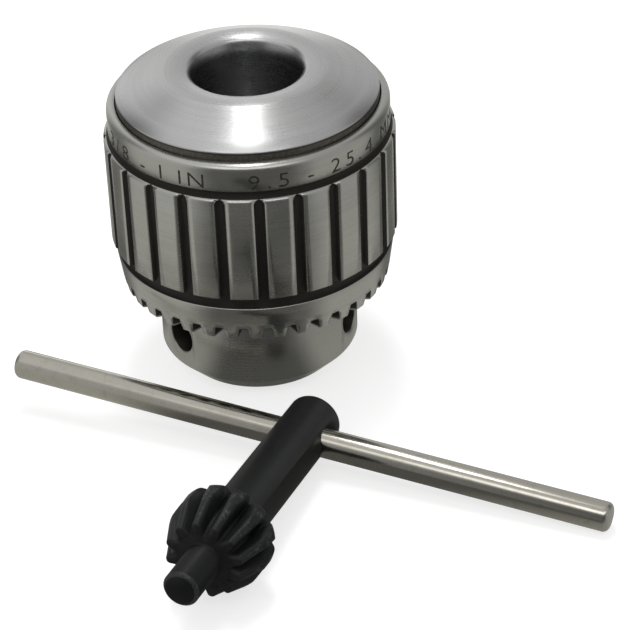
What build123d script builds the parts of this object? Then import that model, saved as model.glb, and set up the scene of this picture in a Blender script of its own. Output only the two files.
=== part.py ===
from build123d import *
import os
from math import pi, sin, cos, tan, radians, degrees, sqrt, atan

os.makedirs("parts", exist_ok=True)

# Key-type ball-bearing drill chuck, 3/8 to 1 inch capacity, standing on its nose,
# with its T-handled key lying beside it.  Millimetres.  +Z is the spindle axis,
# from the nose (z = 0) to the taper end.  Angles are about +Z, counted from +X.

# ---------------------------------------------------------------- whole chuck
TOP_Z = 104.2            # end of the taper hub
HEAD_R = 41.3            # head of the body, just inside the sleeve's mouth
HEAD_RIM_Z = 97.0        # where the top cone meets the head's cylinder
HEAD_UNDER_Z = 67.5      # shoulder under the head that takes the thrust race
HUB_RING_R = 25.6        # outer edge of the flat ring round the taper socket
NOSE_R = 32.15
NOSE_BEVEL_Z = 6.9
NOSE_END_R = 25.7
NOSE_TOP_Z = 36.4
NOSE_BORE_R = 13.2
NOSE_BORE_Z = 38.0
NOSE_BORE_TIP_Z = 42.0

# no. 5 short taper socket
TAPER_LARGE_R = 35.890 / 2
TAPER_SMALL_R = 33.429 / 2
TAPER_LENGTH = 47.625
TAPER_MOUTH_CHAMFER = 1.5    # across the mouth's chamfer
TAPER_MOUTH_DEPTH = 1.0

# ---------------------------------------------------------------- jaws
JAW_ANGLES = (-82.2, 37.8, 157.8)
JAW_TILT = 14.0          # jaw axis against the spindle axis
JAW_R = 6.75
JAW_HOLE_R = 6.85
JAW_TIP_Z = 1.5          # fully open
JAW_TIP_RHO = 11.2       # jaw axis radius at the tip, fully open
JAW_LENGTH = 81.7        # along the jaw
JAW_HOLE_END = 84.5      # along the jaw, from the open tip
GRIP_OPEN_R = 12.7       # 1 inch capacity
GRIP_RIDGE_HALF = 2.0
GRIP_WEDGE = 30.0

# ---------------------------------------------------------------- nut thread
THREAD_PITCH = 3.175     # along the cone's generator, 8 per inch, right hand
NUT_Z0, NUT_Z1 = 37.0, 57.0
NUT_R = 41.5
NUT_ROOT = 0.25          # beyond the jaw backs
NUT_CREST = -1.5         # inside the jaw backs
RIDGE_CREST_HALF = 0.475
RIDGE_ROOT_HALF = 0.875
RACK_CLEAR = 0.25
RACK_FLOOR = -2.1
NECK_INSET = -2.0        # body neck inside the jaw backs
NUT_SPLIT_ANGLE = 67.8
NUT_SPLIT_GAP = 0.1
HELIX_START_Z = 34.6

# ---------------------------------------------------------------- thrust bearing
BALL_R = 4.7625 / 2
BALL_COUNT = 24
BALL_PCR = 38.1
BALL_Z = 62.25
RACE_GROOVE_R = 2.55
RACE_PLAY = 0.1
RACE_IN_R = 34.9
RACE_LOW_OUT_R = 41.4
RACE_UP_OUT_R = 40.8
RACE_LOW_TOP_Z = 61.0
RACE_UP_BOTTOM_Z = 63.5
CORE_R = 33.0            # body inside the bearing
CAGE_IN_R, CAGE_OUT_R = 34.6, 41.25
CAGE_HALF = 0.8
CAGE_POCKET_R = 2.5

# ---------------------------------------------------------------- sleeve
SLEEVE_BORE_R = 41.5
SLEEVE_MOUTH_R = 41.62   # bore round the body's head
SLEEVE_MOUTH_Z = 66.0
SLEEVE_NOSE_BORE_R = 32.3
SLEEVE_TOP_Z = 94.5
BAND_R = 44.48
BAND_Z0 = 85.31
FLUTED_R = 46.04
FLUTED_Z0, FLUTED_Z1 = 47.46, 83.02
TOP_GROOVE_R = 43.9
LOW_GROOVE_Z0 = 43.14
LOW_GROOVE_R = 43.6
LOWER_BAND_TOP_R = 44.91
LOWER_BAND_MID = (43.5, 34.0)
LOWER_BAND_END = (42.95, 31.2)
FLUTE_COUNT = 24
FLUTE_PHASE = 3.5
FLUTE_WIDTH = 3.1
FLUTE_FLOOR_R = 44.74
FLUTE_END_Z = 82.9

# bevel gear, 36 teeth on the sleeve, 12 on the key, common apex on the axis
KEY_Z = 17.5
GEAR_TEETH = 36
GEAR_PHASE = 4.5         # a tooth space is centred here
GEAR_TIP_SLOPE = 0.311
GEAR_ROOT_SLOPE = 0.400
GEAR_SPACE_MOUTH = 2.1 / 43.4
GEAR_SPACE_ROOT = 1.3 / 43.4

# ---------------------------------------------------------------- key holes
KEY_ANGLES = (-142.2, -22.2, 97.8)
KEY_HOLE_R = 5.65
KEY_HOLE_CHAMFER = 0.4

# ---------------------------------------------------------------- key
KEY_LENGTH = 101.5
SHANK_R = 8.6
SHANK_CHAMFER = 1.0
PILOT_R = 5.55
PILOT_LENGTH = 16.1
PILOT_CHAMFER = 0.9
PINION_TEETH = 12
PINION_PHASE = 15.0
PINION_FRONT_D = 33.0    # distance of the pinion's small end from the apex
PINION_FRONT_R = 12.5    # tips at the small end
PINION_CONE_D = 42.9     # end of the tapered part
PINION_HEEL_SCALE_D = 50.5   # the teeth's thickness goes on growing to this distance
PINION_ROUND_D = 49.0    # where the rounded heel starts
PINION_HEEL_D = 52.3
PINION_TIP_R = 15.5      # tips of the straight rear part
PINION_REST_R = 15.46    # a tip's edge, which the key rests on, is a little off the bottom
PINION_ROOT_SLOPE = 0.262
PINION_ROOT_R = 10.4     # root of the straight rear part
HANDLE_R = 4.63
HANDLE_LENGTH = 197.8
HANDLE_OFFSET = 1.1      # the handle's middle beyond the shank's axis
HANDLE_EDGE = 2.0
HANDLE_FROM_REAR = 11.9
KEY_REAR_XY = (17.0, -55.5)
KEY_HEADING = -113.2
REST_LIFT = 0.02

TAN = tan(radians(JAW_TILT))
SIN = sin(radians(JAW_TILT))
COS = cos(radians(JAW_TILT))


def rho(z):
    """Radius of the open jaw's axis at height z."""
    return JAW_TIP_RHO + (z - JAW_TIP_Z) * TAN


def cone_r(z, d):
    """Radius of the cone lying d outside the jaws' backs."""
    return rho(z) + (JAW_R + d) / COS


def turned(points):
    """Solid of revolution about Z from (r, z) points."""
    face = Face(Wire.make_polygon([Vector(r, 0, z) for r, z in points], close=True))
    return Solid.revolve(face, 360, Axis.Z)


def about_z(shape, angle):
    return shape.rotate(Axis.Z, angle)


def jaw_plane(angle, along=0.0):
    """Plane square to a jaw's axis, x pointing outward, at a distance up the jaw."""
    a = radians(angle)
    u = Vector(cos(a), sin(a), 0)
    axis = u * SIN + Vector(0, 0, COS)
    start = u * JAW_TIP_RHO + Vector(0, 0, JAW_TIP_Z)
    return Plane(origin=start + axis * along, x_dir=u * COS - Vector(0, 0, SIN), z_dir=axis)


def radial_plane(angle, r, z):
    """Plane whose z axis points radially outward, x axis up."""
    a = radians(angle)
    u = Vector(cos(a), sin(a), 0)
    return Plane(origin=u * r + Vector(0, 0, z), x_dir=(0, 0, 1), z_dir=u)


def one(shape):
    """The single solid of a boolean result."""
    solids = shape.solids()
    assert len(solids) == 1, f"{len(solids)} solids"
    return solids[0]


def save(name, shape):
    solid = one(shape)
    assert solid.is_valid, name
    solid.label = name
    export_step(solid, f"parts/{name}.step")
    return solid


# ================================================================ body
def make_body():
    neck0 = cone_r(NOSE_TOP_Z, NECK_INSET)
    neck1 = cone_r(NUT_Z1 + 0.4, NECK_INSET)
    socket_z = TOP_Z - TAPER_LENGTH
    chamfer_z = TOP_Z - TAPER_MOUTH_DEPTH
    mouth_r = TAPER_LARGE_R - TAPER_MOUTH_DEPTH * (TAPER_LARGE_R - TAPER_SMALL_R) / TAPER_LENGTH
    body = turned([
        (NOSE_BORE_R, 0.0), (NOSE_END_R - 0.3, 0.0), (NOSE_END_R, 0.2),
        (NOSE_R - 0.25, NOSE_BEVEL_Z - 0.35), (NOSE_R, NOSE_BEVEL_Z + 0.15),
        (NOSE_R, NOSE_TOP_Z), (neck0, NOSE_TOP_Z), (neck1, NUT_Z1 + 0.4),
        (CORE_R, NUT_Z1 + 0.4), (CORE_R, HEAD_UNDER_Z), (HEAD_R, HEAD_UNDER_Z),
        (HEAD_R, HEAD_RIM_Z - 0.25), (HEAD_R - 0.35, HEAD_RIM_Z + 0.17),
        (HUB_RING_R + 0.25, TOP_Z - 0.12), (HUB_RING_R - 0.2, TOP_Z),
        (mouth_r + TAPER_MOUTH_CHAMFER, TOP_Z), (mouth_r, chamfer_z),
        (TAPER_SMALL_R, socket_z), (0, socket_z),
        (0, NOSE_BORE_TIP_Z), (NOSE_BORE_R, NOSE_BORE_Z),
    ])
    cutters = []
    for angle in JAW_ANGLES:
        cutters.append(Solid.make_cylinder(JAW_HOLE_R, JAW_HOLE_END + 10.0, jaw_plane(angle, -10.0)))
    for angle in KEY_ANGLES:
        cutters.append(Solid.make_cylinder(KEY_HOLE_R, 35.0, radial_plane(angle, 6.0, KEY_Z)))
        cutters.append(Solid.make_cone(KEY_HOLE_R, KEY_HOLE_R + 3.0, 3.0,
                                       radial_plane(angle, NOSE_R - KEY_HOLE_CHAMFER - 0.25, KEY_Z)))
    return body.cut(*cutters)


# ================================================================ sleeve
def gear_z(r, slope):
    return KEY_Z + r * slope


def make_sleeve():
    r_in, (r_out, z_out) = SLEEVE_NOSE_BORE_R, LOWER_BAND_END
    face_r = (z_out - 0.35 - KEY_Z) / GEAR_TIP_SLOPE
    face_r = min(face_r, r_out - 0.3)
    sleeve = turned([
        (r_in, gear_z(r_in, GEAR_TIP_SLOPE)), (face_r, gear_z(face_r, GEAR_TIP_SLOPE)),
        (r_out, z_out), LOWER_BAND_MID, (LOWER_BAND_TOP_R - 0.15, LOW_GROOVE_Z0 - 0.3),
        (LOWER_BAND_TOP_R - 0.35, LOW_GROOVE_Z0),
        (LOW_GROOVE_R, LOW_GROOVE_Z0), (LOW_GROOVE_R, FLUTED_Z0),
        (FLUTED_R - 0.2, FLUTED_Z0), (FLUTED_R, FLUTED_Z0 + 0.2),
        (FLUTED_R, FLUTED_Z1 - 0.8), (FLUTED_R - 0.75, FLUTED_Z1),
        (TOP_GROOVE_R, FLUTED_Z1), (TOP_GROOVE_R, BAND_Z0),
        (BAND_R - 0.15, BAND_Z0), (BAND_R, BAND_Z0 + 0.15),
        (BAND_R, 92.2), (BAND_R - 0.14, 92.75), (BAND_R - 0.44, 93.22), (43.55, 93.6),
        (41.85, SLEEVE_TOP_Z), (SLEEVE_MOUTH_R, SLEEVE_TOP_Z - 0.2),
        (SLEEVE_MOUTH_R, SLEEVE_MOUTH_Z), (SLEEVE_BORE_R, SLEEVE_MOUTH_Z - 0.3),
        (SLEEVE_BORE_R, NUT_Z0), (r_in, NUT_Z0),
    ])
    half = FLUTE_WIDTH / 2
    end_z = FLUTE_END_Z - half
    slot = Solid.make_box(6.0, FLUTE_WIDTH, end_z - 45.5,
                          Plane(origin=(FLUTE_FLOOR_R, -half, 45.5)))
    slot = slot.fuse(Solid.make_cylinder(half, 6.0, radial_plane(0, FLUTE_FLOOR_R, end_z)))
    slot = one(slot)
    cutters = [about_z(slot, FLUTE_PHASE + k * 360 / FLUTE_COUNT) for k in range(FLUTE_COUNT)]

    def space(r):
        lo = GEAR_TIP_SLOPE - 0.06
        w_lo = GEAR_SPACE_MOUTH + (GEAR_SPACE_MOUTH - GEAR_SPACE_ROOT) \
            * (GEAR_TIP_SLOPE - lo) / (GEAR_ROOT_SLOPE - GEAR_TIP_SLOPE)
        pts = [(-w_lo * r, gear_z(r, lo)), (-GEAR_SPACE_ROOT * r, gear_z(r, GEAR_ROOT_SLOPE)),
               (GEAR_SPACE_ROOT * r, gear_z(r, GEAR_ROOT_SLOPE)), (w_lo * r, gear_z(r, lo))]
        return Wire.make_polygon([Vector(r, y, z) for y, z in pts], close=True)

    gap = Solid.make_loft([space(28.0), space(48.0)], ruled=True)
    cutters += [about_z(gap, GEAR_PHASE + k * 360 / GEAR_TEETH) for k in range(GEAR_TEETH)]
    return sleeve.cut(*cutters)


# ================================================================ split nut
def helix_length_start():
    """Distance up the jaw of the helix's start."""
    r = cone_r(HELIX_START_Z, NUT_ROOT)
    return (r - JAW_TIP_RHO) * SIN + (HELIX_START_Z - JAW_TIP_Z) * COS


def make_nut():
    ring = turned([(cone_r(NUT_Z0, NUT_ROOT), NUT_Z0), (NUT_R, NUT_Z0), (NUT_R, NUT_Z1),
                   (cone_r(NUT_Z1, NUT_ROOT), NUT_Z1)])
    turns = (NUT_Z1 + 1.6 - HELIX_START_Z) / (THREAD_PITCH * COS)
    r0 = cone_r(HELIX_START_Z, NUT_ROOT)
    path = Edge.make_helix(THREAD_PITCH, THREAD_PITCH * turns, r0,
                           center=(0, 0, HELIX_START_Z), normal=(0, 0, 1), angle=JAW_TILT)
    start = path.position_at(0)
    flank = (RIDGE_ROOT_HALF - RIDGE_CREST_HALF) / (NUT_ROOT - NUT_CREST)
    deep = 0.5
    half_deep = RIDGE_ROOT_HALF + flank * deep
    corners = []
    for s, d in ((-half_deep, NUT_ROOT + deep), (-RIDGE_CREST_HALF, NUT_CREST),
                 (RIDGE_CREST_HALF, NUT_CREST), (half_deep, NUT_ROOT + deep)):
        corners.append(Vector(r0 + s * SIN + (d - NUT_ROOT) * COS, 0,
                              HELIX_START_Z + s * COS - (d - NUT_ROOT) * SIN))
    section = Face(Wire.make_polygon(corners, close=True))
    print("helix starts", start, "ends", path.position_at(1))
    ridge = Solid.sweep(section, path, mode=Vector(0, 0, 1))
    if isinstance(ridge, (list, ShapeList)):
        ridge = ridge[0]
    slab = turned([(20.0, NUT_Z0), (40.0, NUT_Z0), (40.0, NUT_Z1), (20.0, NUT_Z1)])
    ridge = ridge.intersect(slab)
    if isinstance(ridge, (list, ShapeList)):
        ridge = max((s for r in ridge for s in r.solids()), key=lambda s: s.volume)
    nut = one(ring.fuse(ridge))
    a = NUT_SPLIT_ANGLE
    halves = []
    for side in (0, 180):
        block = Solid.make_box(100, 60, 40, Plane(origin=(-50, NUT_SPLIT_GAP / 2, 30)))
        block = about_z(block, a + side)
        halves.append(nut.intersect(block))
    return halves


# ================================================================ jaws
def make_jaw(angle):
    rod = Solid.make_cylinder(JAW_R, JAW_LENGTH + 6.0, jaw_plane(angle, -6.0))
    top = [e for e in rod.edges().filter_by(GeomType.CIRCLE)]
    top = max(top, key=lambda e: e.center().Z)
    rod = one(rod.chamfer(0.8, None, [top]))
    a = radians(angle)
    u, t = Vector(cos(a), sin(a), 0), Vector(-sin(a), cos(a), 0)
    cut = tan(radians(GRIP_WEDGE))
    far = 9.0
    outline = [(-20, -far), (GRIP_OPEN_R + (far - GRIP_RIDGE_HALF) * cut, -far),
               (GRIP_OPEN_R, -GRIP_RIDGE_HALF), (GRIP_OPEN_R, GRIP_RIDGE_HALF),
               (GRIP_OPEN_R + (far - GRIP_RIDGE_HALF) * cut, far), (-20, far)]
    wedge = Face(Wire.make_polygon([u * x + t * y + Vector(0, 0, -15) for x, y in outline], close=True))
    wedge = Solid.extrude(wedge, Vector(0, 0, 90))
    below = Solid.make_box(80, 80, 20, Plane(origin=(-40, -40, JAW_TIP_Z - 20)))
    cutters = [wedge, below]

    flank = (RIDGE_ROOT_HALF - RIDGE_CREST_HALF) / (NUT_ROOT - NUT_CREST)
    turn = (angle % 360) / 360
    s0 = helix_length_start() + THREAD_PITCH * turn
    k = -3
    while True:
        s = s0 + THREAD_PITCH * k
        k += 1
        if s < (NOSE_TOP_Z - 2.0) / COS:
            continue
        if s > JAW_LENGTH + 1.0:
            break
        tilt = degrees(atan(THREAD_PITCH / (2 * pi * 29.0)))
        pl = jaw_plane(angle, s)
        # local x outward from the jaw's axis, y tangential, z up the jaw
        prof = []
        for d, sign in ((RACK_FLOOR, -1), (0.9, -1), (0.9, 1), (RACK_FLOOR, 1)):
            hw = RIDGE_CREST_HALF + flank * (d - NUT_CREST) + RACK_CLEAR
            prof.append((JAW_R + d, sign * hw))
        lean = tan(radians(tilt))
        w = 8.0
        faces = []
        for y in (-w, w):
            faces.append(Wire.make_polygon(
                [pl.from_local_coords(Vector(x, y, zz + lean * y)) for x, zz in prof], close=True))
        cutters.append(Solid.make_loft(faces, ruled=True))
    return rod.cut(*cutters)


# ================================================================ thrust bearing
def make_bearing():
    gap = BALL_R + RACE_PLAY
    low = turned([(RACE_IN_R, NUT_Z1), (RACE_LOW_OUT_R, NUT_Z1), (RACE_LOW_OUT_R, RACE_LOW_TOP_Z),
                  (RACE_IN_R, RACE_LOW_TOP_Z)])
    up = turned([(RACE_IN_R, RACE_UP_BOTTOM_Z), (RACE_UP_OUT_R, RACE_UP_BOTTOM_Z),
                 (RACE_UP_OUT_R, HEAD_UNDER_Z), (RACE_IN_R, HEAD_UNDER_Z)])
    t_low = Solid.make_torus(BALL_PCR, RACE_GROOVE_R, Plane((0, 0, BALL_Z - gap + RACE_GROOVE_R)))
    t_up = Solid.make_torus(BALL_PCR, RACE_GROOVE_R, Plane((0, 0, BALL_Z + gap - RACE_GROOVE_R)))
    low, up = low.cut(t_low), up.cut(t_up)
    cage = turned([(CAGE_IN_R, BALL_Z - CAGE_HALF), (CAGE_OUT_R, BALL_Z - CAGE_HALF),
                   (CAGE_OUT_R, BALL_Z + CAGE_HALF), (CAGE_IN_R, BALL_Z + CAGE_HALF)])
    pockets, balls = [], []
    for k in range(BALL_COUNT):
        a = radians(k * 360 / BALL_COUNT)
        x, y = BALL_PCR * cos(a), BALL_PCR * sin(a)
        pockets.append(Solid.make_cylinder(CAGE_POCKET_R, 6.0, Plane((x, y, BALL_Z - 3.0))))
        balls.append(Solid.make_sphere(BALL_R, Plane((x, y, BALL_Z)), -90, 90, 360))
    return up, low, cage.cut(*pockets), balls


# ================================================================ key
def key_plane():
    """Key frame: z from the rear end to the pilot, x along the handle."""
    u_pin = KEY_LENGTH - PILOT_LENGTH - (PINION_ROUND_D - PINION_FRONT_D)
    tilt = atan((PINION_REST_R - SHANK_R) / (u_pin - SHANK_CHAMFER))
    z_rear = SHANK_R * cos(tilt) - SHANK_CHAMFER * sin(tilt) + REST_LIFT
    h = radians(KEY_HEADING)
    ah = Vector(cos(h), sin(h), 0)
    bh = Vector(-sin(h), cos(h), 0)
    a = ah * cos(tilt) + Vector(0, 0, sin(tilt))
    up = a.cross(bh)
    z_bar = z_rear + HANDLE_FROM_REAR * sin(tilt)
    bz = -(z_bar - HANDLE_R - REST_LIFT) / (HANDLE_LENGTH / 2 + HANDLE_OFFSET - HANDLE_EDGE)
    sg = bz / cos(tilt)
    b = bh * sqrt(1 - sg * sg) + up * sg
    print("key tilt", degrees(tilt), "rear z", z_rear, "handle dip", bz)
    return Plane(origin=Vector(KEY_REAR_XY[0], KEY_REAR_XY[1], z_rear), x_dir=b, z_dir=a)


def d_to_u(d):
    """Distance from the gear apex to distance from the key's rear end."""
    return KEY_LENGTH - PILOT_LENGTH - (d - PINION_FRONT_D)


def make_key():
    front, cone, rnd, heel = (d_to_u(d) for d in (PINION_FRONT_D, PINION_CONE_D, PINION_ROUND_D, PINION_HEEL_D))
    r_front, r_max = PINION_FRONT_R, PINION_TIP_R
    core_front = PINION_ROOT_SLOPE * PINION_FRONT_D
    flat_d = PINION_ROOT_R / PINION_ROOT_SLOPE
    shank = turned([
        (0, 0), (SHANK_R - SHANK_CHAMFER, 0), (SHANK_R, SHANK_CHAMFER), (SHANK_R, heel - 1.2),
        (SHANK_R + 0.35, heel - 0.3), (SHANK_R + 1.1, heel + 0.4), (PINION_ROOT_R, heel + 1.6),
        (PINION_ROOT_R, d_to_u(flat_d)), (core_front, front), (PILOT_R + 0.5, front),
        (PILOT_R, front + 0.5), (PILOT_R, KEY_LENGTH - PILOT_CHAMFER),
        (PILOT_R - PILOT_CHAMFER, KEY_LENGTH), (0, KEY_LENGTH)])
    # rounded blank that limits the teeth
    steps = 8
    blank = [(4.0, heel)]
    for k in range(steps + 1):
        q = radians(90 * k / steps)
        blank.append((SHANK_R + 1.6 + (r_max - SHANK_R - 1.6) * sin(q), heel + (rnd - heel) * (1 - cos(q))))
    blank += [(r_max, cone - 0.5), (r_max - 0.12, cone + 0.4), (r_front + 0.25, front - 0.7),
              (r_front - 0.55, front), (4.0, front)]
    blank = turned(blank)

    def tooth(d_scale, u):
        k = d_scale / 43.4
        r_tip = 15.9 * k
        base = 8.6 * k
        pts = [(-2.45 * k, base), (-2.3 * k, 11.4 * k), (-1.72 * k, 14.35 * k)]
        left = [Vector(y, r, u) for y, r in pts]
        right = [Vector(-y, r, u) for y, r in reversed(pts)]
        edges = [Edge.make_line(left[0], left[1]), Edge.make_line(left[1], left[2]),
                 Edge.make_three_point_arc(left[2], Vector(0, r_tip, u), right[0]),
                 Edge.make_line(right[0], right[1]), Edge.make_line(right[1], right[2]),
                 Edge.make_line(right[2], left[0])]
        return Wire(edges)

    pieces = [Solid.make_loft([tooth(PINION_CONE_D, cone), tooth(PINION_FRONT_D - 0.5, front + 0.5)], ruled=True),
              Solid.make_loft([tooth(PINION_HEEL_SCALE_D, heel - 1.0), tooth(PINION_CONE_D, cone)], ruled=True)]
    cutter = one(pieces[0].fuse(pieces[1]))
    cutter = cutter.intersect(blank)
    if isinstance(cutter, (list, ShapeList)):
        cutter = cutter[0]
    cutter = one(cutter)
    teeth = [about_z(cutter, PINION_PHASE + k * 360 / PINION_TEETH) for k in range(PINION_TEETH)]
    shank = one(shank.fuse(*teeth))
    hole = Solid.make_cylinder(HANDLE_R, 60, Plane(origin=(-30, 0, HANDLE_FROM_REAR), z_dir=(1, 0, 0)))
    shank = one(shank.cut(hole))
    bar = Solid.make_cylinder(HANDLE_R, HANDLE_LENGTH,
                              Plane(origin=(HANDLE_OFFSET - HANDLE_LENGTH / 2, 0, HANDLE_FROM_REAR),
                                    z_dir=(1, 0, 0)))
    bar = one(bar.fillet(HANDLE_EDGE, bar.edges().filter_by(GeomType.CIRCLE)))
    loc = key_plane().location
    return shank.moved(loc), bar.moved(loc)


save("chuck_body", make_body())
save("sleeve", make_sleeve())
half_a, half_b = make_nut()
save("nut_half_a", half_a)
save("nut_half_b", half_b)
for n, jaw_angle in enumerate(JAW_ANGLES, 1):
    save(f"jaw_{n}", make_jaw(jaw_angle))
race_up, race_low, cage, balls = make_bearing()
save("bearing_race_upper", race_up)
save("bearing_race_lower", race_low)
save("ball_cage", cage)
for n, ball in enumerate(balls, 1):
    save(f"bearing_ball_{n:02d}", ball)
key_shank, key_handle = make_key()
save("key_shank", key_shank)
save("key_handle", key_handle)
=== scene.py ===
import bmesh
import bpy
import math
from mathutils import Matrix, Vector


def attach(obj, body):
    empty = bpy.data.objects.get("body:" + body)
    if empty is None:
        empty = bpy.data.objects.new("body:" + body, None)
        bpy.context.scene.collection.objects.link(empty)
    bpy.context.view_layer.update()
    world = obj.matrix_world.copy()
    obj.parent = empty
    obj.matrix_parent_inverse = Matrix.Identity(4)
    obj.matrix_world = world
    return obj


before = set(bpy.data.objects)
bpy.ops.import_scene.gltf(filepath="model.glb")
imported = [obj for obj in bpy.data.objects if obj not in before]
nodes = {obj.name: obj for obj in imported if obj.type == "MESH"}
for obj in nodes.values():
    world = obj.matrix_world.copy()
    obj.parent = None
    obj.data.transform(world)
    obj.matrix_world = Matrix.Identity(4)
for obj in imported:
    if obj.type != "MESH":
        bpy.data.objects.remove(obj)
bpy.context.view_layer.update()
scene = bpy.context.scene
scene.view_settings.view_transform = "Standard"
scene.view_settings.look = "None"
scene.view_settings.exposure = 0.0
scene.view_settings.gamma = 1.0

MM = 0.001


# ------------------------------------------------------------------ node helpers
class Tree:
    """A short way to write shader nodes."""

    def __init__(self, tree):
        self.tree = tree

    def node(self, kind, **settings):
        n = self.tree.nodes.new(kind)
        for key, value in settings.items():
            setattr(n, key, value)
        return n

    def put(self, socket, value):
        if value is None:
            return
        if isinstance(value, bpy.types.NodeSocket):
            self.tree.links.new(value, socket)
        elif isinstance(value, (tuple, list)) and socket.type == "RGBA" and len(value) == 3:
            socket.default_value = (*value, 1.0)
        else:
            socket.default_value = value

    def math(self, op, a, b=None, c=None, clamp=False):
        n = self.node("ShaderNodeMath", operation=op, use_clamp=clamp)
        for i, v in enumerate((a, b, c)):
            self.put(n.inputs[i], v)
        return n.outputs[0]

    def add(self, a, b): return self.math("ADD", a, b)
    def sub(self, a, b): return self.math("SUBTRACT", a, b)
    def mul(self, a, b): return self.math("MULTIPLY", a, b)
    def lo(self, a, b): return self.math("MINIMUM", a, b)
    def hi(self, a, b): return self.math("MAXIMUM", a, b)
    def inv(self, a): return self.math("SUBTRACT", 1.0, a)

    def vec(self, op, a, b=None):
        n = self.node("ShaderNodeVectorMath", operation=op)
        self.put(n.inputs[0], a)
        if b is not None:
            self.put(n.inputs[3 if op == "SCALE" else 1], b)
        return n.outputs["Value" if op in ("DOT_PRODUCT", "LENGTH") else "Vector"]

    def join(self, x, y, z):
        n = self.node("ShaderNodeCombineXYZ")
        for i, v in enumerate((x, y, z)):
            self.put(n.inputs[i], v)
        return n.outputs[0]

    def split(self, v):
        n = self.node("ShaderNodeSeparateXYZ")
        self.put(n.inputs[0], v)
        return n.outputs[0], n.outputs[1], n.outputs[2]

    def ramp(self, v, a, b, x=0.0, y=1.0, smooth=True):
        n = self.node("ShaderNodeMapRange", interpolation_type="SMOOTHSTEP" if smooth else "LINEAR")
        self.put(n.inputs[0], v)
        for i, value in zip((1, 2, 3, 4), (a, b, x, y)):
            self.put(n.inputs[i], value)
        return n.outputs[0]

    def above(self, v, edge, soft): return self.ramp(v, edge - soft, edge + soft)
    def below(self, v, edge, soft): return self.ramp(v, edge - soft, edge + soft, 1.0, 0.0)
    def between(self, v, a, b, soft): return self.mul(self.above(v, a, soft), self.below(v, b, soft))

    def blend(self, f, a, b):
        n = self.node("ShaderNodeMix", data_type="RGBA", clamp_factor=True)
        self.put(n.inputs["Factor"], f)
        self.put(n.inputs[6], a)
        self.put(n.inputs[7], b)
        return n.outputs[2]

    def mix(self, f, a, b):
        n = self.node("ShaderNodeMix", data_type="FLOAT", clamp_factor=True)
        self.put(n.inputs["Factor"], f)
        self.put(n.inputs[2], a)
        self.put(n.inputs[3], b)
        return n.outputs[0]

    def scale_colour(self, colour, k):
        n = self.node("ShaderNodeVectorMath", operation="SCALE")
        self.put(n.inputs[0], colour)
        self.put(n.inputs[3], k)
        return n.outputs[0]

    def noise(self, v, scale, detail=2.0, rough=0.5, w=None, distort=0.0):
        n = self.node("ShaderNodeTexNoise", noise_dimensions="4D" if w is not None else "3D")
        self.put(n.inputs["Vector"], v)
        if w is not None:
            self.put(n.inputs["W"], w)
        n.inputs["Scale"].default_value = scale
        n.inputs["Detail"].default_value = detail
        n.inputs["Roughness"].default_value = rough
        n.inputs["Distortion"].default_value = distort
        return n.outputs[0]

    def bump(self, height, strength, distance, normal=None):
        n = self.node("ShaderNodeBump")
        n.inputs["Strength"].default_value = strength
        n.inputs["Distance"].default_value = distance
        self.put(n.inputs["Height"], height)
        if normal is not None:
            self.put(n.inputs["Normal"], normal)
        return n.outputs[0]


def new_material(name):
    m = bpy.data.materials.new(name)
    m.use_nodes = True
    m.node_tree.nodes.clear()
    t = Tree(m.node_tree)
    shader = t.node("ShaderNodeBsdfPrincipled")
    out = t.node("ShaderNodeOutputMaterial")
    m.node_tree.links.new(shader.outputs[0], out.inputs[0])
    return m, t, shader


def polar(t):
    """Object position in millimetres: x, y, z, radius, and the unit direction round Z."""
    p = t.vec("SCALE", t.node("ShaderNodeTexCoord").outputs["Object"], 1000.0)
    x, y, z = t.split(p)
    r = t.vec("LENGTH", t.join(x, y, 0.0))
    rs = t.hi(r, 0.001)
    return p, x, y, z, r, t.math("DIVIDE", x, rs), t.math("DIVIDE", y, rs)


def turning_marks(t, cx, cy, r, z, per_mm, along=1.2, detail=3.0):
    """Fine lines running round the axis, without a seam."""
    v = t.join(t.mul(cx, along), t.mul(cy, along), t.mul(r, per_mm))
    return t.noise(v, 1.0, detail, 0.6, w=t.mul(z, per_mm))


def wrapped(t, angle, phase, pitch):
    """Angle from the nearest of a ring of equally spaced features, in radians."""
    p = math.radians(pitch)
    v = t.math("WRAP", t.sub(angle, math.radians(phase)), p / 2, -p / 2)
    return v


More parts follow.
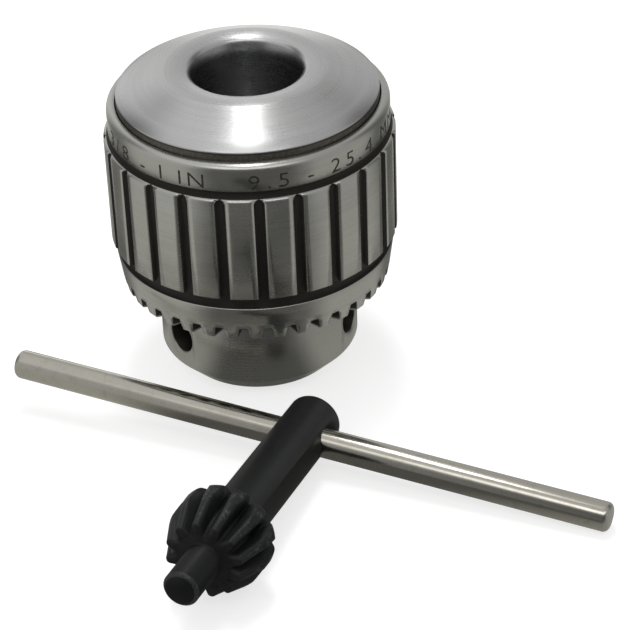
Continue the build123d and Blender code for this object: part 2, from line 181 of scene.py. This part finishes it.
# ------------------------------------------------------------------ body: turned steel
def body_material():
    m, t, s = new_material("turned_body_steel")
    p, x, y, z, r, cx, cy = polar(t)
    fine = turning_marks(t, cx, cy, r, z, 5.0, 0.9, 2.0)
    broad = turning_marks(t, cx, cy, r, z, 0.9, 0.7, 3.0)
    smudge = t.noise(p, 0.045, 4.0, 0.6)
    speck = t.noise(p, 1.1, 2.0, 0.5)

    socket = t.mul(t.below(r, 18.35, 0.12), t.between(z, 50.0, 103.05, 0.15))
    nose_bore = t.mul(t.below(r, 25.0, 0.3), t.mul(t.below(z, 50.0, 1.0), t.above(z, 0.05, 0.05)))
    seam = t.mul(t.mul(t.above(r, 30.0, 0.3), t.below(z, 96.75, 0.12)), t.above(z, 36.6, 0.1))
    hole = t.mul(t.below(z, 30.0, 0.1), t.mul(t.below(r, 31.75, 0.15), t.above(r, 12.5, 0.3)))
    hole = t.mul(hole, t.above(z, 9.0, 0.5))
    nose = t.mul(t.below(z, 36.5, 0.2), t.above(r, 25.0, 0.2))

    steel = t.blend(smudge, (0.60, 0.605, 0.605), (0.67, 0.67, 0.66))
    steel = t.blend(t.ramp(broad, 0.35, 0.7, 0.0, 0.6), steel, (0.575, 0.577, 0.575))
    steel = t.blend(t.mul(nose, 0.8), steel, (0.42, 0.415, 0.375))
    steel = t.blend(t.mul(nose, t.ramp(speck, 0.55, 0.75, 0.0, 0.35)), steel, (0.36, 0.35, 0.31))
    # painted shade: the socket bore inside the body is painted a darker steel
    steel = t.blend(t.mul(socket, 0.85), steel, (0.40, 0.40, 0.405))
    # painted shade: the nose bore, the body under the sleeve seam and the key holes are painted near-black
    dark = t.hi(t.hi(nose_bore, seam), hole)
    steel = t.blend(t.mul(dark, 0.93), steel, (0.035, 0.032, 0.026))
    # painted shade in the seam, lifted to a mottled mid-dark band just under the rim
    lip = t.mul(t.mul(seam, t.between(z, 94.2, 96.2, 0.25)), t.ramp(speck, 0.35, 0.65, 0.35, 0.75))
    steel = t.blend(lip, steel, (0.20, 0.19, 0.155))
    t.put(s.inputs["Base Color"], steel)
    s.inputs["Metallic"].default_value = 1.0
    rough = t.add(0.25, t.mul(t.sub(fine, 0.5), 0.16))
    rough = t.add(rough, t.mul(t.ramp(smudge, 0.4, 0.75), 0.07))
    rough = t.add(rough, t.mul(speck, 0.03))
    rough = t.add(rough, t.mul(dark, 0.2))
    t.put(s.inputs["Roughness"], rough)
    s.inputs["Anisotropic"].default_value = 0.72
    s.inputs["Anisotropic Rotation"].default_value = 0.25
    tan = t.node("ShaderNodeTangent", direction_type="RADIAL", axis="Z")
    t.put(s.inputs["Tangent"], tan.outputs[0])
    t.put(s.inputs["Normal"], t.bump(t.add(fine, t.mul(broad, 0.6)), 0.032, 0.00004))
    return m


# ------------------------------------------------------------------ sleeve: ground steel, blackened flutes and grooves, painted shade in the gear spaces, inner bore and underside
def sleeve_material():
    m, t, s = new_material("ground_sleeve_steel")
    p, x, y, z, r, cx, cy = polar(t)
    theta = t.math("ARCTAN2", y, x)
    fine = turning_marks(t, cx, cy, r, z, 4.0, 1.2, 2.0)
    broad = turning_marks(t, cx, cy, r, z, 0.5, 1.0, 3.0)
    smudge = t.noise(p, 0.06, 4.0, 0.62)
    speck = t.noise(p, 1.6, 3.0, 0.6)

    # flutes
    d = wrapped(t, theta, 3.5, 15.0)
    side = t.mul(r, t.math("SINE", d))
    over = t.hi(t.sub(z, 81.35), 0.0)
    reach = t.math("SQRT", t.add(t.mul(side, side), t.mul(over, over)))
    flute = t.mul(t.below(reach, 1.70, 0.03), t.mul(t.above(z, 47.3, 0.05), t.below(z, 83.2, 0.05)))
    # ring grooves
    low_groove = t.mul(t.between(z, 43.10, 47.47, 0.02), t.below(r, 45.82, 0.03))
    low_lip = t.mul(t.between(z, 43.0, 43.2, 0.02), t.below(r, 44.5, 0.03))
    top_groove = t.mul(t.between(z, 83.0, 85.33, 0.02), t.below(r, 44.3, 0.03))
    shelf = t.mul(t.between(z, 82.98, 83.1, 0.02), t.below(r, 45.1, 0.08))
    # gear spaces: painted shade, darker towards the roots
    g = wrapped(t, theta, 4.5, 10.0)
    gx = t.mul(r, t.math("COSINE", g))
    gy = t.math("ABSOLUTE", t.mul(r, t.math("SINE", g)))
    slope = t.math("DIVIDE", t.sub(z, 17.5), gx)
    half = t.mul(gx, t.ramp(slope, 0.311, 0.400, 2.1 / 43.4, 1.3 / 43.4, smooth=False))
    space = t.mul(t.below(t.sub(gy, half), 0.05, 0.02), t.between(slope, 0.3135, 0.403, 0.001))
    space = t.mul(space, t.below(z, 37.0, 0.2))
    space = t.mul(space, t.ramp(slope, 0.314, 0.335, 0.35, 1.0))
    # painted shade: the sleeve's inner bore and its underside
    inner = t.mul(t.below(r, 41.74, 0.03), t.above(z, 36.0, 0.3))
    under = t.mul(t.below(r, 32.6, 0.1), t.below(z, 37.2, 0.1))
    # dark: blackened flutes and ring grooves, with painted shade in the gear spaces, inner bore and underside
    dark = t.hi(t.hi(t.hi(flute, low_groove), t.hi(low_lip, top_groove)), t.hi(t.hi(shelf, space), t.hi(inner, under)))

    steel = t.blend(smudge, (0.52, 0.52, 0.49), (0.62, 0.615, 0.58))
    steel = t.blend(t.ramp(broad, 0.35, 0.7, 0.0, 0.5), steel, (0.48, 0.475, 0.445))
    steel = t.blend(t.ramp(speck, 0.62, 0.75, 0.0, 0.35), steel, (0.36, 0.35, 0.31))
    # near-black for the blackened finish and for the painted shade
    black_finish_and_painted_shade = t.blend(speck, (0.012, 0.011, 0.009), (0.030, 0.026, 0.019))
    t.put(s.inputs["Base Color"], t.blend(dark, steel, black_finish_and_painted_shade))
    t.put(s.inputs["Metallic"], t.mix(dark, 1.0, 0.25))
    rough = t.add(0.23, t.mul(t.sub(fine, 0.5), 0.14))
    rough = t.add(rough, t.mul(t.ramp(smudge, 0.4, 0.75), 0.08))
    rough = t.add(rough, t.mul(speck, 0.03))
    rough = t.mix(dark, rough, t.add(0.48, t.mul(speck, 0.2)))
    t.put(s.inputs["Roughness"], rough)
    s.inputs["Anisotropic"].default_value = 0.70
    s.inputs["Anisotropic Rotation"].default_value = 0.25
    tan = t.node("ShaderNodeTangent", direction_type="RADIAL", axis="Z")
    t.put(s.inputs["Tangent"], tan.outputs[0])
    t.put(s.inputs["Normal"], t.bump(t.add(fine, t.mul(t.mul(dark, speck), 2.0)), 0.045, 0.00004))
    return m


# ------------------------------------------------------------------ key frame
def key_axes():
    """Rear end, direction to the pilot, and direction along the handle."""
    u_pin = 101.5 - 16.1 - (49.0 - 33.0)
    tilt = math.atan((15.46 - 8.6) / (u_pin - 1.0))
    z_rear = 8.6 * math.cos(tilt) - 1.0 * math.sin(tilt) + 0.02
    h = math.radians(-113.2)
    ah = Vector((math.cos(h), math.sin(h), 0))
    bh = Vector((-math.sin(h), math.cos(h), 0))
    a = ah * math.cos(tilt) + Vector((0, 0, math.sin(tilt)))
    up = a.cross(bh)
    z_bar = z_rear + 11.9 * math.sin(tilt)
    bz = -(z_bar - 4.63 - 0.02) / (98.9 + 1.1 - 2.0)
    sg = bz / math.cos(tilt)
    b = bh * math.sqrt(1 - sg * sg) + up * sg
    return Vector((17.0, -55.5, z_rear)), a, b, a.cross(b)


KEY_O, KEY_A, KEY_B, KEY_C = key_axes()


def key_coordinates(t):
    """Key position in millimetres: across the handle, upward, along the shank from the rear."""
    p = t.vec("SCALE", t.node("ShaderNodeTexCoord").outputs["Object"], 1000.0)
    q = t.vec("SUBTRACT", p, tuple(KEY_O))
    return p, t.vec("DOT_PRODUCT", q, tuple(KEY_B)), t.vec("DOT_PRODUCT", q, tuple(KEY_C)), \
        t.vec("DOT_PRODUCT", q, tuple(KEY_A))


def black_key_material():
    m, t, s = new_material("black_oxide_steel")
    p, kx, ky, ku = key_coordinates(t)
    r = t.vec("LENGTH", t.join(kx, ky, 0.0))
    rs = t.hi(r, 0.001)
    cx, cy = t.math("DIVIDE", kx, rs), t.math("DIVIDE", ky, rs)
    grain = t.noise(p, 2.4, 4.0, 0.65)
    cloud = t.noise(p, 0.16, 4.0, 0.6)
    draw = t.noise(t.join(t.mul(cx, 6.0), t.mul(cy, 6.0), t.mul(ku, 0.05)), 1.0, 3.0, 0.6)
    # how far a point lies inside the teeth's tips
    tip = t.lo(t.add(12.5, t.mul(t.sub(85.4, ku), 0.303)), 15.5)
    inside = t.sub(tip, r)
    on_teeth = t.between(ku, 66.0, 85.6, 0.4)
    patch = t.ramp(t.noise(p, 0.35, 3.0, 0.6), 0.42, 0.62)
    rub = t.mul(t.mul(t.below(inside, 0.30, 0.25), on_teeth), t.mul(patch, t.ramp(t.noise(p, 1.3, 3.0, 0.6), 0.40, 0.66)))
    # painted shade: tooth roots deep inside the tips are painted darker
    root = t.mul(t.above(inside, 3.2, 1.2), on_teeth)
    face = t.mul(t.above(ku, 85.2, 0.05), t.above(r, 6.2, 0.2))
    rub = t.hi(rub, t.mul(face, t.ramp(grain, 0.55, 0.8, 0.0, 0.3)))
    rim = t.mul(t.above(ku, 100.45, 0.12), t.above(r, 4.5, 0.15))
    wear = t.hi(t.mul(rub, 0.55), t.mul(rim, t.ramp(grain, 0.35, 0.7, 0.1, 0.5)))
    black = t.blend(cloud, (0.0075, 0.0080, 0.0085), (0.017, 0.018, 0.0185))
    black = t.blend(t.ramp(grain, 0.5, 0.85, 0.0, 0.45), black, (0.030, 0.033, 0.035))
    black = t.blend(t.mul(root, 0.7), black, (0.006, 0.006, 0.006))
    pilot = t.above(ku, 85.6, 0.1)
    black = t.blend(t.mul(pilot, 0.75), black, (0.0055, 0.0056, 0.0058))
    t.put(s.inputs["Base Color"], t.blend(wear, black, (0.125, 0.135, 0.145)))
    t.put(s.inputs["Metallic"], t.mix(wear, 0.2, 0.85))
    rough = t.add(0.46, t.mul(t.sub(cloud, 0.5), 0.20))
    rough = t.add(rough, t.mul(t.sub(grain, 0.5), 0.14))
    rough = t.sub(rough, t.mul(pilot, 0.05))
    t.put(s.inputs["Roughness"], t.mix(wear, t.add(rough, t.mul(root, 0.15)), 0.34))
    s.inputs["Specular IOR Level"].default_value = 0.38
    t.put(s.inputs["Normal"], t.bump(t.add(grain, t.mul(draw, 0.7)), 0.20, 0.00005))
    return m


def handle_material():
    m, t, s = new_material("nickel_plated_steel")
    p, kx, ky, ku = key_coordinates(t)
    q = t.sub(ku, 11.9)
    r = t.hi(t.vec("LENGTH", t.join(q, ky, 0.0)), 0.001)
    cx, cy = t.math("DIVIDE", q, r), t.math("DIVIDE", ky, r)
    lines = t.noise(t.join(t.mul(cx, 9.0), t.mul(cy, 9.0), t.mul(kx, 0.02)), 1.0, 3.0, 0.6)
    cloud = t.noise(p, 0.07, 4.0, 0.6)
    pit = t.noise(p, 1.4, 3.0, 0.6)
    stain = t.noise(p, 0.30, 3.0, 0.6)
    colour = t.blend(cloud, (0.62, 0.60, 0.545), (0.49, 0.465, 0.40))
    colour = t.blend(t.ramp(stain, 0.5, 0.75, 0.0, 0.4), colour, (0.42, 0.385, 0.31))
    colour = t.blend(t.ramp(pit, 0.60, 0.78, 0.0, 0.55), colour, (0.25, 0.225, 0.18))
    end = t.above(t.math("ABSOLUTE", t.sub(kx, 1.1)), 97.6, 0.3)
    t.put(s.inputs["Base Color"], t.blend(t.mul(end, 0.35), colour, (0.60, 0.59, 0.55)))
    s.inputs["Metallic"].default_value = 1.0
    rough = t.add(0.13, t.mul(t.ramp(cloud, 0.35, 0.75), 0.07))
    rough = t.add(rough, t.mul(t.ramp(pit, 0.55, 0.8), 0.16))
    rough = t.add(rough, t.mul(t.sub(lines, 0.5), 0.06))
    t.put(s.inputs["Roughness"], t.add(rough, t.mul(end, 0.14)))
    t.put(s.inputs["Normal"], t.bump(t.add(t.mul(lines, 0.8), pit), 0.14, 0.00004))
    return m


# ------------------------------------------------------------------ inner pieces
def machined_material(name, base, other, rough, axis_marks=True, oil=0.3, metallic=1.0):
    m, t, s = new_material(name)
    p, x, y, z, r, cx, cy = polar(t)
    marks = turning_marks(t, cx, cy, r, z, 3.5, 1.0, 3.0) if axis_marks else t.noise(p, 1.8, 3.0, 0.6)
    film = t.noise(p, 0.18, 4.0, 0.6)
    colour = t.blend(marks, base, other)
    colour = t.blend(t.ramp(film, 0.45, 0.7, 0.0, oil), colour, (0.06, 0.05, 0.035))
    t.put(s.inputs["Base Color"], colour)
    s.inputs["Metallic"].default_value = metallic
    t.put(s.inputs["Roughness"], t.add(rough, t.mul(t.sub(marks, 0.5), 0.16)))
    t.put(s.inputs["Normal"], t.bump(marks, 0.12, 0.00005))
    return m


def jaw_material(angle):
    """Ground rod: marks run round the jaw's own tilted axis."""
    m, t, s = new_material("ground_jaw_steel")
    a, tilt = math.radians(angle), math.radians(14.0)
    u = Vector((math.cos(a), math.sin(a), 0))
    axis = u * math.sin(tilt) + Vector((0, 0, math.cos(tilt)))
    start = u * 11.2 + Vector((0, 0, 1.5))
    p = t.vec("SCALE", t.node("ShaderNodeTexCoord").outputs["Object"], 1000.0)
    q = t.vec("SUBTRACT", p, tuple(start))
    along = t.vec("DOT_PRODUCT", q, tuple(axis))
    marks = t.noise(t.join(0.0, 0.0, t.mul(along, 4.0)), 1.0, 3.0, 0.6, w=t.mul(t.vec("DOT_PRODUCT", q, (-math.sin(a), math.cos(a), 0.0)), 0.08))
    film = t.noise(p, 0.2, 4.0, 0.6)
    grip = t.vec("DOT_PRODUCT", p, tuple(u))
    ridge = t.mul(t.below(grip, 12.95, 0.1), t.ramp(film, 0.3, 0.6, 0.4, 1.0))
    colour = t.blend(marks, (0.36, 0.355, 0.34), (0.50, 0.49, 0.47))
    colour = t.blend(t.ramp(film, 0.4, 0.7, 0.0, 0.55), colour, (0.10, 0.085, 0.06))
    colour = t.blend(t.mul(ridge, 0.7), colour, (0.62, 0.61, 0.59))
    t.put(s.inputs["Base Color"], colour)
    s.inputs["Metallic"].default_value = 1.0
    t.put(s.inputs["Roughness"], t.add(0.27, t.mul(t.sub(marks, 0.5), 0.15)))
    t.put(s.inputs["Normal"], t.bump(marks, 0.12, 0.00004))
    return m


def smoothing_group():
    """Smooth shading across shallow edges, sharp across the rest."""
    g = bpy.data.node_groups.new("smooth_shading", "GeometryNodeTree")
    g.interface.new_socket("Geometry", in_out="INPUT", socket_type="NodeSocketGeometry")
    g.interface.new_socket("Geometry", in_out="OUTPUT", socket_type="NodeSocketGeometry")
    n, link = g.nodes, g.links
    src, dst = n.new("NodeGroupInput"), n.new("NodeGroupOutput")
    faces = n.new("GeometryNodeSetShadeSmooth")
    faces.domain = "FACE"
    faces.inputs["Shade Smooth"].default_value = True
    edges = n.new("GeometryNodeSetShadeSmooth")
    edges.domain = "EDGE"
    angle = n.new("GeometryNodeInputMeshEdgeAngle")
    flat = n.new("FunctionNodeCompare")
    flat.data_type, flat.operation = "FLOAT", "LESS_EQUAL"
    flat.inputs[1].default_value = math.radians(24)
    normals = n.new("GeometryNodeSetMeshNormal")
    normals.mode = "SHARPNESS"
    normals.inputs["Remove Custom"].default_value = True
    link.new(src.outputs[0], faces.inputs["Geometry"])
    link.new(faces.outputs[0], edges.inputs["Geometry"])
    link.new(angle.outputs["Unsigned Angle"], flat.inputs[0])
    link.new(flat.outputs[0], edges.inputs["Shade Smooth"])
    link.new(edges.outputs[0], normals.inputs["Mesh"])
    link.new(normals.outputs[0], dst.inputs[0])
    return g


def dress(node, material):
    o = nodes[node]
    o.data.materials.clear()
    o.data.materials.append(material)


steel = body_material()
dress("chuck_body", steel)
dress("sleeve", sleeve_material())
key_black = black_key_material()
dress("key_shank", key_black)
dress("key_handle", handle_material())
for number, angle in ((1, -82.2), (2, 37.8), (3, 157.8)):
    dress(f"jaw_{number}", jaw_material(angle))
nut = machined_material("oiled_nut_steel", (0.22, 0.215, 0.20), (0.34, 0.33, 0.31), 0.32, oil=0.5)
dress("nut_half_a", nut)
dress("nut_half_b", nut)
race = machined_material("ground_race_steel", (0.50, 0.50, 0.49), (0.62, 0.62, 0.61), 0.22)
dress("bearing_race_upper", race)
dress("bearing_race_lower", race)
dress("ball_cage", machined_material("pressed_brass", (0.60, 0.44, 0.17), (0.72, 0.55, 0.24), 0.30))
ball = machined_material("polished_ball_steel", (0.66, 0.66, 0.67), (0.74, 0.74, 0.75), 0.10, axis_marks=False, oil=0.12)
for number in range(1, 25):
    dress(f"bearing_ball_{number:02d}", ball)


# ------------------------------------------------------------------ capacity marking round the band
def marking_material():
    """Dark fill in stamped figures, worn thin in places."""
    m, t, s = new_material("dark_marking")
    p, x, y, z, r, cx, cy = polar(t)
    wear = t.noise(p, 0.9, 3.0, 0.6)
    fleck = t.noise(p, 4.0, 2.0, 0.5)
    colour = t.blend(fleck, (0.018, 0.016, 0.012), (0.040, 0.036, 0.028))
    colour = t.blend(t.ramp(wear, 0.50, 0.72, 0.0, 0.55), colour, (0.17, 0.165, 0.145))
    t.put(s.inputs["Base Color"], colour)
    s.inputs["Metallic"].default_value = 0.4
    t.put(s.inputs["Roughness"], t.add(0.40, t.mul(wear, 0.25)))
    t.put(s.inputs["Normal"], t.bump(fleck, 0.15, 0.00003))
    return m


def band_marking(words, start, radius, z_mid, height, gap):
    """Figures in mm round the sleeve's band: words, and the angle from the front where they start."""
    whole = bmesh.new()
    at = math.radians(start) * radius
    for letter in words:
        if letter == " ":
            at += gap * 1.5
            continue
        curve = bpy.data.curves.new("figure", "FONT")
        curve.body = letter
        curve.size = height / 0.70
        curve.offset = -0.012 * height
        curve.extrude = 0.1
        curve.resolution_u = 4
        holder = bpy.data.objects.new("figure", curve)
        scene.collection.objects.link(holder)
        mesh = bpy.data.meshes.new_from_object(holder.evaluated_get(bpy.context.evaluated_depsgraph_get()))
        bpy.data.objects.remove(holder)
        bpy.data.curves.remove(curve)
        b = bmesh.new()
        b.from_mesh(mesh)
        bpy.data.meshes.remove(mesh)
        bmesh.ops.remove_doubles(b, verts=b.verts, dist=1e-4)
        for v in b.verts:
            v.co.x *= 1.18
        x0, x1 = min(v.co.x for v in b.verts), max(v.co.x for v in b.verts)
        cut = x0 + 0.7
        while cut < x1 - 0.2:
            bmesh.ops.bisect_plane(b, geom=b.verts[:] + b.edges[:] + b.faces[:], dist=1e-5,
                                   plane_co=(cut, 0, 0), plane_no=(1, 0, 0))
            cut += 0.7
        for v in b.verts:
            turn = (at + v.co.x - x0) / radius
            reach = radius + (0.035 if v.co.z > 0 else -0.12)
            v.co = Vector((math.sin(turn) * reach, -math.cos(turn) * reach, z_mid + v.co.y - height / 2)) * MM
        part = bpy.data.meshes.new("part")
        b.to_mesh(part)
        b.free()
        whole.from_mesh(part)
        bpy.data.meshes.remove(part)
        at += x1 - x0 + gap
    bmesh.ops.recalc_face_normals(whole, faces=whole.faces)
    mesh = bpy.data.meshes.new("band_marking")
    whole.to_mesh(mesh)
    whole.free()
    mesh.materials.append(marking_material())
    piece = bpy.data.objects.new("band_marking", mesh)
    scene.collection.objects.link(piece)
    return piece


marking = band_marking("3/8 - 1 IN   9.5 - 25.4 MM", -73.0, 44.48, 88.55, 4.9, 2.5)
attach(marking, "sleeve_assembly")

group = smoothing_group()
for name in ("chuck_body", "sleeve", "jaw_1", "jaw_2", "jaw_3", "key_shank", "key_handle", "nut_half_a", "nut_half_b"):
    weld = nodes[name].modifiers.new("weld", "WELD")
    weld.merge_threshold = 1e-6
    smooth = nodes[name].modifiers.new("smooth", "NODES")
    smooth.node_group = group

# ------------------------------------------------------------------ studio surroundings
def surroundings(t, x, y, low=1.0):
    """Brightness that polished metal sees in a compass direction, 0 degrees being the front."""
    turn = t.mul(t.math("ARCTAN2", t.math("ABSOLUTE", x), t.mul(y, -1.0)), 180.0 / math.pi)
    side = t.add(t.ramp(x, -0.5, 0.5, 1.08, 0.88), t.mul(t.ramp(turn, 105.0, 150.0), t.ramp(x, -0.5, 0.0, 0.22, 0.0)))
    front_card = t.mul(t.ramp(turn, 26.0, 54.0), t.ramp(turn, 92.0, 114.0, 1.0, 0.0))
    backdrop = t.ramp(turn, 122.0, 152.0)
    centre = t.ramp(turn, 168.0, 178.0)
    gap = t.mul(t.ramp(turn, 92.0, 112.0), t.ramp(turn, 128.0, 146.0, 1.0, 0.0))
    level = t.add(t.add(0.115, t.mul(front_card, 0.36)), t.mul(gap, 0.06))
    level = t.add(level, t.mul(backdrop, 0.45))
    level = t.add(level, t.mul(t.mul(centre, low), 0.50))
    return t.mul(level, side)


# ------------------------------------------------------------------ floor
floor_mesh = bpy.data.meshes.new("floor")
side = 0.9
floor_mesh.from_pydata([(-side, -side, 0), (side, -side, 0), (side, side, 0), (-side, side, 0)], [], [(0, 1, 2, 3)])
floor = bpy.data.objects.new("floor", floor_mesh)
scene.collection.objects.link(floor)
floor.location.z = -0.00005
m, t, s = new_material("pale_floor")
t.put(s.inputs["Base Color"], (0.46, 0.46, 0.46))
s.inputs["Roughness"].default_value = 0.9
s.inputs["Specular IOR Level"].default_value = 0.1
s.inputs["Emission Color"].default_value = (1, 1, 1, 1)
s.inputs["Emission Strength"].default_value = 0.72
# metal sees a darker table top than the pale one that shows
out = next(n for n in m.node_tree.nodes if n.type == "OUTPUT_MATERIAL")
path = t.node("ShaderNodeLightPath")
fx, fy, fz = t.split(t.node("ShaderNodeTexCoord").outputs["Object"])
shade = t.node("ShaderNodeEmission")
grey = t.mul(surroundings(t, fx, fy), 0.95)
t.put(shade.inputs["Color"], t.join(grey, grey, t.mul(grey, 0.94)))
pick = t.node("ShaderNodeMixShader")
t.put(pick.inputs[0], path.outputs["Is Glossy Ray"])
t.tree.links.new(s.outputs[0], pick.inputs[1])
t.tree.links.new(shade.outputs[0], pick.inputs[2])
t.tree.links.new(pick.outputs[0], out.inputs[0])
floor_mesh.materials.append(m)

# ------------------------------------------------------------------ studio
world = bpy.data.worlds.new("studio")
scene.world = world
world.use_nodes = True
world.node_tree.nodes.clear()
w = Tree(world.node_tree)
path = w.node("ShaderNodeLightPath")
way = w.node("ShaderNodeTexCoord").outputs["Generated"]
wx, wy, wz = w.split(way)
level = surroundings(w, wx, wy, w.below(wz, 0.25, 0.12))
overhead = w.ramp(wx, -0.45, 0.45, 0.72, 0.48)
room = w.mix(w.ramp(wz, 0.58, 0.85), level, overhead)
card = w.mul(w.between(wz, 0.76, 0.93, 0.035), w.mul(w.below(wy, -0.30, 0.08), w.below(w.math("ABSOLUTE", wx), 0.42, 0.16)))
room = w.add(room, w.mul(card, 1.25))
seen = w.node("ShaderNodeBackground")
seen.inputs["Color"].default_value = (1, 1, 1, 1)
lit = w.node("ShaderNodeBackground")
w.put(lit.inputs["Color"], w.join(room, room, room))
pick = w.node("ShaderNodeMixShader")
w.put(pick.inputs[0], path.outputs["Is Camera Ray"])
w.tree.links.new(lit.outputs[0], pick.inputs[1])
w.tree.links.new(seen.outputs[0], pick.inputs[2])
w.tree.links.new(pick.outputs[0], w.node("ShaderNodeOutputWorld").inputs[0])


def softbox(name, place, target, width, height, power, tint=(1, 1, 1)):
    data = bpy.data.lights.new(name, "AREA")
    data.shape, data.size, data.size_y = "RECTANGLE", width, height
    data.energy, data.color = power, tint
    lamp = bpy.data.objects.new(name, data)
    scene.collection.objects.link(lamp)
    lamp.location = place
    lamp.rotation_mode = "QUATERNION"
    lamp.rotation_quaternion = (Vector(target) - Vector(place)).to_track_quat("-Z", "Y")
    return lamp


softbox("top_box", (-0.012, 0.27, 0.84), (-0.012, 0.20, 0.08), 0.085, 0.50, 0.75)
softbox("top_glow", (-0.03, 0.29, 0.90), (-0.03, 0.20, 0.08), 0.26, 0.56, 0.16)
fill = softbox("top_fill", (-0.015, 0.27, 0.84), (-0.015, 0.20, 0.08), 0.21, 0.56, 3.6)
fill.visible_glossy = False

# ------------------------------------------------------------------ camera
camera = bpy.data.objects.new("camera", bpy.data.cameras.new("camera"))
scene.collection.objects.link(camera)
right = Vector((0.9991956, -0.0224105, -0.0332553))
up = Vector((0.0401016, 0.5583925, 0.8286079))
back = right.cross(up)
spin = Matrix((right, up, back)).transposed().to_4x4()
spin.translation = Vector((0.018238, -0.706999, 0.486519))
camera.matrix_world = spin
camera.data.sensor_width = 36.0
camera.data.lens = 147.442
camera.data.clip_start, camera.data.clip_end = 0.01, 20.0
scene.camera = camera
